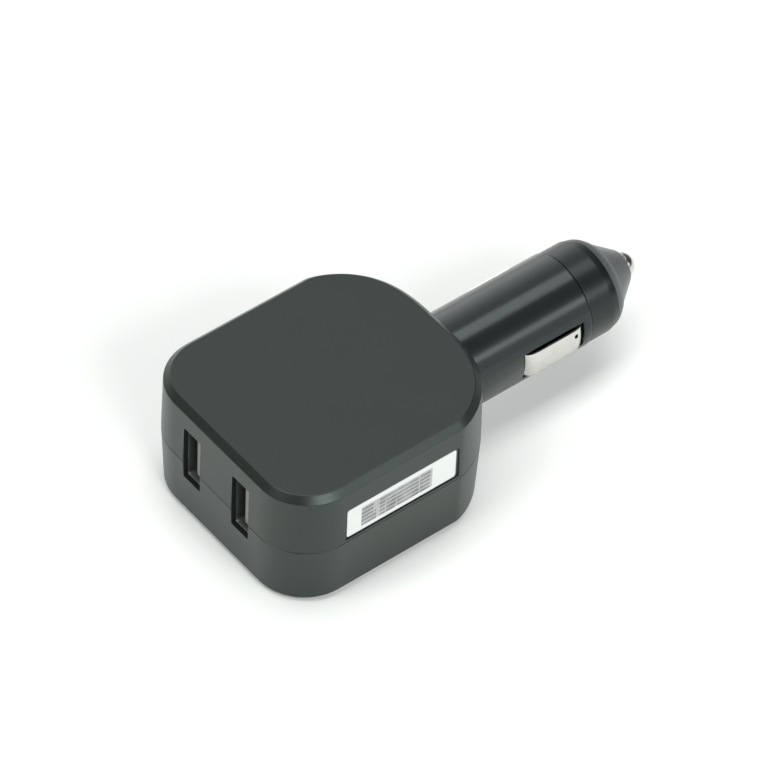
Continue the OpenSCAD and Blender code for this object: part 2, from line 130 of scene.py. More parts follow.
# Contacts and spring
TIP_R = 2.8
TIP_FLANGE_R = 3.4
TIP_SEAT_GAP = 0.05
SIDE_LEN = 14.4
SIDE_ANGLE = 32.6
SIDE_FOOT_SINK = 0.5
SIDE_EDGE = 0.09
BOW_FLAT = 8
TAB_LEN = 1.9
TAB_BEND = 0.15
SHEET_T = 0.5
HOLE_R = 0.5
HOLE_FROM_END = 2.2
HOLE_TURN = 9
SPRING_WIRE_R = 0.35
SPRING_TURNS = 6

# Ports
PORT_X = 7.7
PORT_Z = 2.65
SLOT_W = 5.3
SLOT_H = 13.9
SLOT_R = 0.35
SLOT_EASE = 0.3
CAN_SINK = 1.3
CAN_GAP = 0.05
CAN_ROOM = 0.2
CAN_W = 5.7
CAN_H = 14.3
CAN_R = 0.6
CAN_LEN = 17.0
CAN_T = 0.3
CAN_SEAT_PAST_WALL = 0.8
MOUTH_ROOM = 0.12
MOUTH_DEPTH = 0.9
FINGER_SLOT_Y = (3.2, 9.4)
FINGER_SLOT_HALF = 1.1
FINGER_SLOT_IN = 0.2
FINGER_SLOT_OUT = 0.8
FINGER_HALF = 0.85
FINGER_T = 0.22
FINGER_LINE = ((0.15, 9.6), (-0.05, 8.0), (-0.42, 5.2), (-0.5, 4.4), (-0.3, 3.5))
TONGUE_X = 0.3
TONGUE_T = 1.4
TONGUE_H = 11.0
TONGUE_R = 0.25
TONGUE_SINK = 0.4
TONGUE_ROOT = 0.6
TONGUE_POINT = (0.7, 0.96)
TONGUE_POINT_FLAT = 0.08
TONGUE_POINT_LEN = 0.3
BLOCK_LEN = 5
BLOCK_R = 0.4
BLOCK_FIT = 0.05
GROOVES = 4
GROOVE_PITCH = 2.3
GROOVE_HALF = 0.65
GROOVE_DEPTH = 0.25
GROOVE_FROM_TIP = 1
GROOVE_FROM_ROOT = 0.5

# Plastic of the plug, dark and light, and the tint of its gloss
PLUG_DARK = (0.0042, 0.0058, 0.006, 1.0)
PLUG_LIGHT = (0.0058, 0.0078, 0.008, 1.0)
PLUG_TINT = (0.88, 1.0, 0.99, 1.0)

# Share of the label that the rows cover, along it and up it
ROWS_ALONG = (0.13, 0.78)
ROWS_UP = (0.14, 0.84)
ROWS_PER_LABEL = 7.2

# Camera, with the focal length in pixels of the photograph's frame
CAMERA_AZIMUTH = 49.79
CAMERA_ELEVATION = 47.4
CAMERA_ROLL = 2.65
CAMERA_DISTANCE = 1219.44
CAMERA_AIM = (0, 0.248, -2.944)
CAMERA_ASIDE = 10.887
CAMERA_DOWN = 1.827
SENSOR_W = 36
FOCAL_PX = 6149.3
FRAME_PX = 768

# Floor: its size in metres, and the gap under the head
FLOOR_SIZE = 6
FLOOR_GAP = 0.02

# Lamps in metres and watts: name, place, target, width, height and power
LAMPS = (
    ("overhead", (-0.1, -0.05, 1.3), (-0.05, -0.05, 0), 1.8, 0.57, 8.9),
    ("right_side", (0.79, 0.46, 0.46), (0, 0.02, 0), 0.7, 0.19, 1.25),
    ("right_fill", (0.95, -0.12, 0.6), (0, 0.02, 0), 0.6, 0.6, 7.3),
    ("front_fill", (-0.12, -0.85, 1.05), (0, -0.05, 0), 0.5, 0.5, 3.6),
)

# Light of the surroundings as (place, level) stops, from the minus side at 0 to the plus side at 1
LIGHT_ACROSS = (
    (0.0, 2.0), (0.1, 1.85), (0.24, 0.97), (0.4, 0.65),
    (0.66, 0.35), (0.78, 0.35), (0.94, 1.1), (1.0, 1.2),
)
LIGHT_ALONG = (
    (0.0, 0.1), (0.13, 0.1), (0.6, 1.0),
    (0.74, 1.0), (0.86, 0.15), (1.0, 0.1),
)


def eased(path, hold=0.25, steps=5):
    """Path of (a, b) or (a, b, radius) corners, each radius drawn as an arc between two close points."""
    points = []
    for k, corner in enumerate(path):
        if len(corner) == 2:
            points.append(corner)
            continue
        here = Vector(corner[:2])
        back = (Vector(path[k - 1][:2]) - here).normalized()
        ahead = (Vector(path[(k + 1) % len(path)][:2]) - here).normalized()
        half = back.angle(ahead) / 2
        reach = corner[2] / math.tan(half)
        centre = here + (back + ahead).normalized() * corner[2] / math.sin(half)
        start = here + back * reach - centre
        sweep = start.angle_signed(here + ahead * reach - centre)
        if hold:
            points.append(tuple(here + back * (reach + hold)))
        for n in range(steps + 1):
            turn = -sweep * n / steps
            points.append((
                centre.x + start.x * math.cos(turn) - start.y * math.sin(turn),
                centre.y + start.x * math.sin(turn) + start.y * math.cos(turn)))
        if hold:
            points.append(tuple(here + ahead * (reach + hold)))
    return points


def rounded_box(width, height, radius):
    """Outline of a rectangle with round corners about its middle, as (a, b) points."""
    w = width / 2
    h = height / 2
    return eased([(-w, -h, radius), (w, -h, radius), (w, h, radius), (-w, h, radius)], 0)


def resized(outline, new, old=(1, 1)):
    """The outline brought from the old (width, height) to the new one about its middle."""
    return [(a * new[0] / old[0], b * new[1] / old[1]) for a, b in outline]


def along_plug(levels, x=0.0):
    """Loops for (y, outline) levels, with each outline lying in x and z."""
    return [[(x + a, y, b) for a, b in outline] for y, outline in levels]


def across_head(levels, middle):
    """Loops for (x, outline) levels, with each outline lying about a (y, z) middle."""
    return [[(x, middle[0] + a, middle[1] + b) for a, b in outline] for x, outline in levels]


def deselect():
    for thing in bpy.context.selected_objects:
        thing.select_set(False)


def picked(piece):
    """The piece alone selected and active."""
    deselect()
    piece.select_set(True)
    bpy.context.view_layer.objects.active = piece
    return piece


def settled(piece):
    """Puts the piece's place, turn and size into its mesh."""
    picked(piece)
    bpy.ops.object.transform_apply(location=True, rotation=True, scale=True)
    return piece


def opened(piece):
    """Edit mode on the piece, with its mesh to select in."""
    picked(piece)
    bpy.ops.object.mode_set(mode="EDIT")
    return bmesh.from_edit_mesh(piece.data)


def smoothed(piece, angle=SMOOTH_ANGLE):
    bpy.ops.object.shade_smooth_by_angle(angle=math.radians(angle))
    return piece


def closed(piece, angle=SMOOTH_ANGLE):
    """Object mode again, with doubles merged, faces pointing out and smooth shading up to the angle."""
    bpy.ops.mesh.select_mode(type="VERT")
    bpy.ops.mesh.select_all(action="SELECT")
    bpy.ops.mesh.remove_doubles(threshold=MESH_MERGE)
    bpy.ops.mesh.normals_make_consistent(inside=False)
    bpy.ops.object.mode_set(mode="OBJECT")
    return smoothed(piece, angle)


def drawn_through(name, loops, angle=SMOOTH_ANGLE):
    """Solid drawn out of its first loop through the others, each a list of points."""
    bpy.ops.mesh.primitive_circle_add(vertices=len(loops[0]), radius=MM, fill_type="NGON")
    piece = bpy.context.object
    piece.name = piece.data.name = name
    mesh = opened(piece)
    order = mesh.verts.layers.int.new("order")
    for k, vert in enumerate(sorted(mesh.verts, key=lambda v: v.index)):
        vert[order] = k
        vert.co = Vector(loops[0][k]) * MM
    bmesh.update_edit_mesh(piece.data)
    for loop in loops[1:]:
        bpy.ops.mesh.extrude_region_move()
        mesh = bmesh.from_edit_mesh(piece.data)
        order = mesh.verts.layers.int["order"]
        for vert in mesh.verts:
            if vert.select:
                vert.co = Vector(loop[vert[order]]) * MM
        bmesh.update_edit_mesh(piece.data)
    return closed(piece, angle)


def chain(name, points):
    """Line of edges through the points, drawn out of one vertex and left open in edit mode."""
    start = Vector(points[0]) * MM
    bpy.ops.mesh.primitive_plane_add(size=MM, location=start)
    piece = settled(bpy.context.object)
    piece.name = piece.data.name = name
    opened(piece)
    bpy.ops.mesh.select_all(action="SELECT")
    bpy.ops.mesh.merge(type="CENTER")
    for here, there in zip(points, points[1:]):
        step = (Vector(there) - Vector(here)) * MM
        bpy.ops.mesh.extrude_region_move(TRANSFORM_OT_translate={"value": step})
    return piece


def turned(name, profile, steps=TURNS):
    """Solid turned about the plug's axis from (radius, y) points, closed unless they start on the axis."""
    points = [(r, y, 0) for r, y in profile]
    if profile[0][0] > 0:
        points.append(points[0])
    piece = chain(name, points)
    bpy.ops.mesh.select_all(action="SELECT")
    bpy.ops.mesh.remove_doubles(threshold=LINE_MERGE)
    bpy.ops.mesh.select_all(action="SELECT")
    bpy.ops.mesh.spin(steps=steps, angle=math.tau, center=(0, 0, 0), axis=(0, 1, 0))
    return closed(piece)


def modified(piece, kind, **settings):
    """The piece with a modifier of this kind applied."""
    picked(piece)
    change = piece.modifiers.new(kind.lower(), kind)
    for setting, value in settings.items():
        setattr(change, setting, value)
    bpy.ops.object.modifier_apply(modifier=change.name)
    return piece


def cut(piece, cutter, operation="DIFFERENCE"):
    """Boolean of the piece with the cutter, which is removed."""
    modified(piece, "BOOLEAN", operation=operation, solver="EXACT", object=cutter)
    bpy.data.objects.remove(cutter)
    return smoothed(piece)


def bevelled(piece, width):
    """Small round edge wherever two faces meet at a clear angle."""
    angle = math.radians(40)
    modified(piece, "BEVEL", width=width * MM, segments=2, limit_method="ANGLE", angle_limit=angle)
    return smoothed(piece)


def joined(name, pieces):
    deselect()
    for piece in pieces:
        piece.select_set(True)
    bpy.context.view_layer.objects.active = pieces[0]
    bpy.ops.object.join()
    pieces[0].name = pieces[0].data.name = name
    return pieces[0]


def copied(piece, name, move=(0, 0, 0), flip_x=False):
    """Copy with a mesh of its own, moved or mirrored through the plane x = 0."""
    other = piece.copy()
    other.data = piece.data.copy()
    other.name = other.data.name = name
    bpy.context.scene.collection.objects.link(other)
    if flip_x:
        other.data.transform(Matrix.Scale(-1, 4, (1, 0, 0)))
        opened(other)
        bpy.ops.mesh.select_all(action="SELECT")
        bpy.ops.mesh.normals_make_consistent(inside=False)
        bpy.ops.object.mode_set(mode="OBJECT")
    other.data.transform(Matrix.Translation(Vector(move) * MM))
    return other


def opaque(red, green, blue):
    return (red, green, blue, 1.0)


def feed(tree, socket, value):
    """Links a value or a node's output to the socket, or sets a number, vector or colour on it."""
    if isinstance(value, Value):
        value = value.socket
    if isinstance(value, bpy.types.NodeSocket):
        tree.links.new(value, socket)
    else:
        socket.default_value = value


def set_stops(ramp, stops):
    """Grey levels on a colour ramp, as (place, level) stops."""
    while len(ramp.elements) < len(stops):
        ramp.elements.new(1.0)
    for element, (spot, level) in zip(ramp.elements, stops):
        element.position = spot
        element.color = opaque(level, level, level)


def new_node(tree, kind, output, settings=None, sockets=None):
    """Output of a new node, with its settings made first and then its sockets, by name or number."""
    made = tree.nodes.new(kind)
    for setting, value in (settings or {}).items():
        if setting == "stops":
            set_stops(made.color_ramp, value)
        else:
            setattr(made, setting, value)
    for socket, value in (sockets or {}).items():
        feed(tree, made.inputs[socket], value)
    return made.outputs[output]


class Value:
    """Number from a node, which sums, differences, products and comparisons extend with Math nodes."""

    def __init__(self, tree, socket):
        self.tree = tree
        self.socket = socket

    def math(self, operation, *terms):
        sockets = dict(enumerate(terms))
        return Value(self.tree, new_node(self.tree, "ShaderNodeMath", 0, {"operation": operation}, sockets))

    def __add__(self, other):
        return self.math("ADD", self, other)

    def __radd__(self, other):
        return self.math("ADD", other, self)

    def __sub__(self, other):
        return self.math("SUBTRACT", self, other)

    def __rsub__(self, other):
        return self.math("SUBTRACT", other, self)

    def __mul__(self, other):
        return self.math("MULTIPLY", self, other)

    def __rmul__(self, other):
        return self.math("MULTIPLY", other, self)

    def __gt__(self, other):
        return self.math("GREATER_THAN", self, other)

    def __lt__(self, other):
        return self.math("LESS_THAN", self, other)

    def wave(self):
        return self.math("SINE", self)

    def fraction(self):
        return self.math("FRACT", self)


class Finish:
    """Material of the charger, with nodes on Object coordinates."""

    def __init__(self, name, **constants):
        self.material = bpy.data.materials.new(name)
        self.material.use_nodes = True
        self.tree = self.material.node_tree
        self.shader = self.tree.nodes["Principled BSDF"]
        for socket, value in constants.items():
            self.shader.inputs[socket.replace("_", " ").title().replace("Ior", "IOR")].default_value = value
        self.place = self.node("ShaderNodeTexCoord", "Object")

    def node(self, kind, output, settings=None, sockets=None):
        return new_node(self.tree, kind, output, settings, sockets)

    def stretched(self, scale):
        """Object coordinates scaled by (x, y, z)."""
        return self.node("ShaderNodeMapping", "Vector", sockets={"Vector": self.place, "Scale": scale})

    def grain(self, size, detail, roughness=0.5, place=None):
        """Noise from 0 to 1 whose spots are about size millimetres across."""
        return Value(self.tree, self.node("ShaderNodeTexNoise", "Fac", sockets={
            "Vector": place or self.place, "Scale": 1 / (size * MM),
            "Detail": detail, "Roughness": roughness}))

    def axis(self, letter):
        """Object coordinate "X", "Y" or "Z" in millimetres."""
        metres = self.node("ShaderNodeSeparateXYZ", letter, sockets={0: self.place})
        return Value(self.tree, metres) * (1 / MM)

    def blend(self, mask, low, high):
        """Colour between low and high by the mask."""
        return self.node("ShaderNodeMix", 2, {"data_type": "RGBA"}, {0: mask, 6: low, 7: high})

    def colour(self, socket):
        feed(self.tree, self.shader.inputs["Base Color"], socket)

    def roughness(self, value):
        feed(self.tree, self.shader.inputs["Roughness"], value)

    def bump(self, height, strength, depth):
        """Relief of depth millimetres from a height of 0 to 1."""
        relief = self.node("ShaderNodeBump", "Normal", sockets={
            "Height": height, "Strength": strength, "Distance": depth * MM})
        feed(self.tree, self.shader.inputs["Normal"], relief)


def moulded(name, low, high, rough, spread, grain_mm, depth, **constants):
    """Moulded plastic: eroded texture, faint flow marks and slow changes of tone."""
    finish = Finish(name, **constants)
    tone = finish.grain(9, 3)
    fine = finish.grain(grain_mm, 3, 0.6)
    flow = finish.grain(2.4, 2, 0.5, finish.stretched((1.0, 0.25, 1.0)))
    finish.colour(finish.blend(tone * 0.5 + fine * 0.5, low, high))
    finish.roughness(rough + (tone - 0.5) * spread + (flow - 0.5) * spread * 0.6)
    finish.bump(fine + flow * 0.15, 0.5, depth)
    return finish.material


def plated(name, low, high, rough, brushed=(1.0, 0.2, 1.0)):
    """Plated metal: fine drawing lines along the brushed direction, and dulled patches."""
    finish = Finish(name, metallic=1.0)
    lines = finish.grain(0.12, 2, 0.6, finish.stretched(brushed))
    dull = finish.grain(2.2, 3)
    finish.colour(finish.blend(dull * 0.6 + lines * 0.4, low, high))
    finish.roughness(rough + dull * 0.12 + (lines - 0.5) * 0.1)
    finish.bump(lines, 0.35, 0.006)
    return finish.material


def plain_part(name, low, high, rough):
    """Moulded or pressed surface of a small part inside the head."""
    return moulded(name, low, high, rough, 0.08, 0.4, 0.006)


def head_plastic():
    return moulded("head_plastic", opaque(0.0098, 0.0118, 0.0111), opaque(0.0134, 0.0162, 0.0152),
        0.36, 0.07, 0.3, 0.018, ior=1.5, specular_tint=opaque(0.84, 1.0, 0.92))


def plug_plastic():
    return moulded("plug_plastic", PLUG_DARK, PLUG_LIGHT,
        0.2, 0.05, 0.6, 0.003, ior=1.5, specular_tint=PLUG_TINT)


def collar_plastic(shoulder_y):
    """Plug plastic with a matt shoulder in front of the height shoulder_y along the plug, painted paler
    there as a highlight band.
    """
    finish = Finish("collar_plastic", ior=1.5, specular_ior_level=0.4, specular_tint=PLUG_TINT)
    tone = finish.grain(9, 3)
    fine = finish.grain(0.6, 3, 0.6)
    # Shoulder mask: rougher there, and a paler colour painted as the highlight that the rounded shoulder
    # catches
    matt_and_sheen = finish.axis("Y") > shoulder_y
    dark = finish.blend(tone * 0.5 + fine * 0.5, PLUG_DARK, PLUG_LIGHT)
    # Painted highlight: pale grey in place of the light that the shoulder catches
    pale = finish.blend(fine, opaque(0.058, 0.066, 0.066), opaque(0.07, 0.08, 0.08))
    finish.colour(finish.blend(matt_and_sheen, dark, pale))
    finish.roughness(matt_and_sheen * 0.14 + 0.29 + (tone - 0.5) * 0.05)
    finish.bump(fine, 0.5, 0.003)
    return finish.material


def nose_plastic():
    return moulded("nose_plastic", opaque(0.006, 0.0078, 0.008), opaque(0.0085, 0.0108, 0.011),
        0.26, 0.06, 0.5, 0.005, ior=1.5, specular_tint=opaque(0.9, 1.0, 0.99))


def sleeve_plastic():
    return moulded("sleeve_plastic", opaque(0.03, 0.032, 0.034), opaque(0.042, 0.044, 0.046),
        0.5, 0.06, 0.4, 0.008)


def tongue_plastic():
    return moulded("tongue_plastic", opaque(0.2, 0.2, 0.2), opaque(0.26, 0.26, 0.26),
        0.42, 0.06, 0.4, 0.006)


def nickel_plate():
    return plated("nickel_plate", opaque(0.52, 0.515, 0.49), opaque(0.66, 0.65, 0.625),
        0.2, (1.0, 0.06, 1.0))


def port_steel():
    return plated("port_steel", opaque(0.34, 0.35, 0.34), opaque(0.44, 0.45, 0.44),
        0.3, (1.0, 0.05, 1.0))


def spring_wire():
    return plated("spring_wire", opaque(0.45, 0.45, 0.44), opaque(0.6, 0.6, 0.58), 0.28)


def label_stock(lo, hi):
    """White label stock with rows of plain grey dashes that spell nothing."""
    finish = Finish("label_stock", specular_ior_level=0.4)
    fibre = finish.grain(0.5, 3)
    along = (finish.axis("Y") - lo.y / MM) * (1 / ((hi.y - lo.y) / MM))
    up = (finish.axis("Z") - lo.z / MM) * (1 / ((hi.z - lo.z) / MM))
    inside_along = (along > ROWS_ALONG[0]) * (along < ROWS_ALONG[1])
    inside_up = (up > ROWS_UP[0]) * (up < ROWS_UP[1])
    rows = (up * ROWS_PER_LABEL).fraction() < 0.62
    dashes = finish.grain(1.5, 1, 0.5, finish.stretched((0.0, 1.0, 0.05))) > 0.44
    smudge = finish.grain(2.6, 2)
    ink = inside_along * inside_up * (rows * dashes * 0.36 + smudge * 0.5 + 0.22)
    paper = finish.blend(fibre, opaque(0.6, 0.62, 0.61), opaque(0.66, 0.68, 0.67))
    finish.colour(finish.blend(ink, paper, opaque(0.1, 0.1, 0.102)))
    finish.roughness(0.42 + fibre * 0.12)
    finish.bump(fibre, 0.3, 0.006)
    return finish.material


def board_laminate():
    """Green solder mask over a woven board."""
    finish = Finish("board_laminate", coat_weight=0.3, coat_roughness=0.2)
    threads = 9
    weave = ((finish.axis("X") * threads).wave() * (finish.axis("Y") * threads).wave()) * 0.5 + 0.5
    tone = finish.grain(5, 3)
    cover = weave * 0.3 + tone * 0.7
    finish.colour(finish.blend(cover, opaque(0.008, 0.06, 0.02), opaque(0.016, 0.1, 0.035)))
    finish.roughness(0.36 + tone * 0.12)
    finish.bump(weave + tone * 0.4, 0.2, 0.01)
    return finish.material


def fuse_tube():
    """Clear glass with a faint film."""
    finish = Finish("fuse_tube", ior=1.5, alpha=0.3)
    film = finish.grain(1.5, 3)
    finish.colour(finish.blend(film, opaque(0.75, 0.8, 0.78), opaque(0.86, 0.9, 0.88)))
    finish.roughness(0.03 + film * 0.05)
    return finish.material


def copper_wire():
    """Enamelled wire laid in rings round the choke's core."""
    finish = Finish("copper_wire", metallic=1.0, coat_weight=0.6, coat_roughness=0.15)
    rings = (finish.axis("Z") * 10.5).wave() * 0.5 + 0.5
    tone = finish.grain(1.2, 2)
    finish.colour(finish.blend(rings * 0.6 + tone * 0.4, opaque(0.3, 0.09, 0.03), opaque(0.72, 0.3, 0.12)))
    finish.roughness(0.22 + tone * 0.12)
    finish.bump(rings, 0.5, 0.05)
    return finish.material


def floor_stock():
    finish = Finish("floor_stock", specular_ior_level=0.1)
    tone = finish.grain(60, 2)
    finish.colour(finish.blend(tone, opaque(0.915, 0.94, 0.918), opaque(0.925, 0.95, 0.928)))
    finish.roughness(0.8 + tone * 0.1)
    return finish.material


def dress(piece, material):
    piece.data.materials.clear()
    piece.data.materials.append(material)


def head_plan(inset, z):
    """Outline of the head at height z, drawn in by inset: round front corners and a bowed rear."""
    arc = 14
    bow = 64
    hold = 0.5
    w = HEAD_W / 2 - inset
    r = CORNER_R - inset
    d = REAR_BOW - inset
    front = -HEAD_LEN + inset
    y = -HEAD_LEN + CORNER_R
    cx = HEAD_W / 2 - CORNER_R
    points = [(-w, y + hold)]
    for k in range(arc + 1):
        a = math.radians(180 + 90 * k / arc)
        points.append((-cx + r * math.cos(a), y + r * math.sin(a)))
    points += [(-cx + hold, front), (cx - hold, front)]
    for k in range(arc + 1):
        a = math.radians(270 + 90 * k / arc)
        points.append((cx + r * math.cos(a), y + r * math.sin(a)))
    points += [(w, y + hold), (w, -REAR_BOW - hold)]
    for k in range(bow + 1):
        a = math.pi * k / bow
        c = math.cos(a)
        across = math.copysign(abs(c) ** (2 / BOW_ACROSS), c)
        along = max(math.sin(a), 0.0) ** (2 / BOW_ALONG)
        points.append((w * across, -REAR_BOW + d * along))
    points.append((-w, -REAR_BOW - hold))
    return [(px, py, z) for px, py in points]


def shell_profile(side):
    """Levels of the upper (side 1) or lower (side -1) shell as (inset, z): from the inside of its
    closed face, round its rim at the parting line, to the outside."""
    draft = UPPER_DRAFT if side > 0 else LOWER_DRAFT
    top = HALF_H - CHAMFER
    outer = eased([
        (SEAM_IN, 0.0), (0.0, SEAM_H, SEAM_R), (draft, top, EDGE_R),
        (draft + CHAMFER, HALF_H, EDGE_R), (draft + CHAMFER + FACE_RIM, HALF_H)], 0.15)
    inner = (WALL + draft, HALF_H - WALL)
    if side > 0:
        return [inner, (WALL, LIP_H + FIT), (LIP_INSET, LIP_H + FIT), (LIP_INSET, 0.0)] + outer
    lip = [(WALL, LIP_H), (LIP_INSET + LIP_GAP, LIP_H), (LIP_INSET + LIP_GAP, 0.0)]
    return [(inner[0], -inner[1])] + lip + [(inset, -z) for inset, z in outer]


def port_window():
    """Cutter for one port's opening, eased at the face and wider behind it, where the metal shell sits."""
    size = (SLOT_W, SLOT_H)
    ring = rounded_box(SLOT_W, SLOT_H, SLOT_R)
    flare = resized(ring, (SLOT_W + SLOT_EASE, SLOT_H + SLOT_EASE), size)
    seat = resized(ring, (CAN_W + CAN_ROOM, CAN_H + CAN_ROOM), size)
    face = -HEAD_LEN
    step = face + CAN_SINK - CAN_GAP
    inside = face + WALL + CAN_SEAT_PAST_WALL
    return along_plug([
        (face - OVERCUT, flare), (face, flare), (face + SLOT_EASE / 2, ring),
        (step, ring), (step, seat), (inside, seat)])


def barrel_seat(name):
    """Cutter for the groove that locks the barrel's root."""
    behind = FLANGE_Y - 4
    ahead = 3
    root = ROOT_R + FIT
    flange = FLANGE_R + FIT
    tube = BARREL_R + FIT
    flange_back = FLANGE_Y - FIT
    flange_front = FLANGE_Y + FLANGE_T + FIT
    return turned(name, [
        (0, behind), (root, behind), (root, flange_back), (flange, flange_back),
        (flange, flange_front), (tube, flange_front), (tube, ahead), (0, ahead)])


def housing(name, side):
    """Shell of the head above (side 1) or below (side -1) the parting line."""
    shell = drawn_through(name, [head_plan(inset, z) for inset, z in shell_profile(side)])
    near = SEAT_GAP * side
    far = (HALF_H - WALL / 2) * side
    block = ((-SEAT_HALF_W, near), (SEAT_HALF_W, near), (SEAT_HALF_W, far), (-SEAT_HALF_W, far))
    seat = drawn_through(name + "_seat", along_plug([(y, block) for y in SEAT_Y]))
    cut(shell, seat, "UNION")
    cut(shell, barrel_seat(name + "_bore"))
    for port in (-1, 1):
        cutter = drawn_through(name + "_window", [
            [(px + port * PORT_X, py, pz + PORT_Z) for px, py, pz in loop] for loop in port_window()])
        cut(shell, cutter)
    return shell


def upper_shell(label_box):
    """Upper shell with a shallow pocket for the label, which flares outwards."""
    shell = housing("head_upper_shell", 1)
    lo, hi = (corner / MM for corner in label_box)
    middle = ((lo.y + hi.y) / 2 + POCKET_SHIFT[0], (lo.z + hi.z) / 2 + POCKET_SHIFT[1])
    ring = rounded_box(hi.y - lo.y + POCKET_ROOM[0], hi.z - lo.z + POCKET_ROOM[1], POCKET_R)
    flare = resized(ring, POCKET_FLARE)
    cutter = drawn_through("label_pocket", across_head([
        (lo.x, ring), (lo.x + POCKET_WALL, ring),
        (lo.x + POCKET_DEPTH, flare), (hi.x + 2 * OVERCUT, flare)], middle))
    return cut(shell, cutter)


def label_sheet(label_box):
    """Sheet of the label with round corners and a soft edge."""
    lo, hi = (corner / MM for corner in label_box)
    width = hi.y - lo.y
    height = hi.z - lo.z
    middle = ((lo.y + hi.y) / 2, (lo.z + hi.z) / 2)
    ring = rounded_box(width, height, LABEL_R)
    inner = resized(ring, (width - 2 * LABEL_EDGE, height - 2 * LABEL_EDGE), (width, height))
    return drawn_through("label_sheet", across_head([
        (lo.x, ring), (hi.x - LABEL_EDGE, ring), (hi.x, inner)], middle))


def port_can(front):
    """Folded steel shell of a port about x = 0, z = 0, with a flared mouth and four spring fingers."""
    back = front + CAN_LEN
    size = (CAN_W, CAN_H)
    outer = rounded_box(CAN_W, CAN_H, CAN_R)
    inner = resized(outer, (CAN_W - 2 * CAN_T, CAN_H - 2 * CAN_T), size)
    mouth = resized(outer, (SLOT_W + MOUTH_ROOM, SLOT_H + MOUTH_ROOM), size)
    can = drawn_through("port_can", along_plug([
        (back - CAN_T, inner), (front + MOUTH_DEPTH, inner), (front, mouth), (front, outer), (back, outer)]))
    near, far = FINGER_SLOT_Y
    half = FINGER_SLOT_HALF
    opening = ((near, -half), (far, -half), (far, half), (near, half))
    fingers = []
    for across in (-1, 1):
        for up in (-1, 1):
            z = up * CAN_H / 4
            x = across * (CAN_W / 2 - CAN_T)
            slot = drawn_through("finger_slot", [
                [(px, front + y, z + pz) for y, pz in opening]
                for px in (x - across * FINGER_SLOT_IN, x + across * FINGER_SLOT_OUT)])
            cut(can, slot)
            strip = []
            for off, y in FINGER_LINE:
                out = x + across * (off + FINGER_T)
                flat = x + across * off
                strip.append([
                    (flat, front + y, z - FINGER_HALF), (out, front + y, z - FINGER_HALF),
                    (out, front + y, z + FINGER_HALF), (flat, front + y, z + FINGER_HALF)])
            fingers.append(drawn_through("finger", strip))
    return joined("port_can", [can] + fingers)


def port_tongue(front):
    """Insulator of a port about x = 0, z = 0: a block at the back and an eased tongue with grooves."""
    back = front + CAN_LEN - CAN_T - BLOCK_FIT
    root = back - BLOCK_LEN
    tip = front + TONGUE_SINK
    inset = 2 * (CAN_T + BLOCK_FIT)
    plug = rounded_box(CAN_W - inset, CAN_H - inset, BLOCK_R)
    block = drawn_through("port_tongue", along_plug([(root, plug), (back, plug)]))
    ring = rounded_box(TONGUE_T, TONGUE_H, TONGUE_R)
    point = resized(ring, TONGUE_POINT)
    tongue = drawn_through("tongue", along_plug([
        (root + TONGUE_ROOT, ring), (tip + TONGUE_POINT_LEN, ring),
        (tip + TONGUE_POINT_FLAT, point), (tip, point)], TONGUE_X))
    face = TONGUE_X - TONGUE_T / 2
    for k in range(GROOVES):
        z = (k - (GROOVES - 1) / 2) * GROOVE_PITCH
        groove = (
            (face - OVERCUT, z - GROOVE_HALF), (face + GROOVE_DEPTH, z - GROOVE_HALF),
            (face + GROOVE_DEPTH, z + GROOVE_HALF), (face - OVERCUT, z + GROOVE_HALF))
        cut(tongue, drawn_through("groove", along_plug([
            (tip + GROOVE_FROM_TIP, groove), (root - GROOVE_FROM_ROOT, groove)])))
    return cut(block, tongue, "UNION")


def barrel_profile(neck_end, shoulder, window):
    """Section of the barrel as (radius, y) points, with points at the window's ends."""
    near, far = window
    flange_front = FLANGE_Y + FLANGE_T
    return eased([
        (BORE_R, BARREL_BACK), (BORE_R, near), (BORE_R, far), (BORE_R, neck_end),
        (NECK_R, neck_end, NECK_EDGE_R), (NECK_R, shoulder), (BARREL_R, shoulder, COLLAR_SEAM_R),
        (BARREL_R, far), (BARREL_R, near), (BARREL_R, flange_front),
        (FLANGE_R, flange_front, FLANGE_EDGE_R), (FLANGE_R, FLANGE_Y, FLANGE_EDGE_R),
        (ROOT_R, FLANGE_Y), (ROOT_R, BARREL_BACK)], 0.2, 4)


def barrel(neck_end, shoulder, window):
    """Moulded tube of the plug, with a window on each side whose edges are eased."""
    piece = turned("barrel", barrel_profile(neck_end, shoulder, window))
    near, far = window
    mesh = opened(piece)
    for face in mesh.faces:
        middle = face.calc_center_median() / MM
        radius = math.hypot(middle.x, middle.z)
        turn = math.atan2(abs(middle.z), abs(middle.x))
        radial = abs(face.normal.y) < 0.5
        strips = WINDOW_STRIPS_OUT if radius > (BORE_R + BARREL_R) / 2 else WINDOW_STRIPS_IN
        inside = turn < strips * math.tau / TURNS and radius < BARREL_R + FIT
        face.select = radial and inside and near < middle.y < far
    bmesh.update_edit_mesh(piece.data)
    bpy.ops.mesh.select_mode(type="FACE")
    bpy.ops.mesh.delete(type="FACE")
    for side in (-1, 1):
        mesh = bmesh.from_edit_mesh(piece.data)
        bpy.ops.mesh.select_mode(type="EDGE")
        bpy.ops.mesh.select_all(action="DESELECT")
        for edge in mesh.edges:
            edge.select = edge.is_boundary and edge.verts[0].co.x * side > 0
        bmesh.update_edit_mesh(piece.data)
        bpy.ops.mesh.bridge_edge_loops()
    mesh = bmesh.from_edit_mesh(piece.data)
    bpy.ops.mesh.select_all(action="DESELECT")
    for edge in mesh.edges:
        middle = (edge.verts[0].co + edge.verts[1].co) / 2 / MM
        between = near - 0.01 < middle.y < far + 0.01
        outer = math.hypot(middle.x, middle.z) > BARREL_R - 0.05
        sharp = edge.is_manifold and edge.calc_face_angle() > math.radians(60)
        edge.select = between and outer and sharp
    bmesh.update_edit_mesh(piece.data)
    bpy.ops.mesh.bevel(offset=WINDOW_EDGE * MM, segments=2, affect="EDGES")
    return closed(piece)


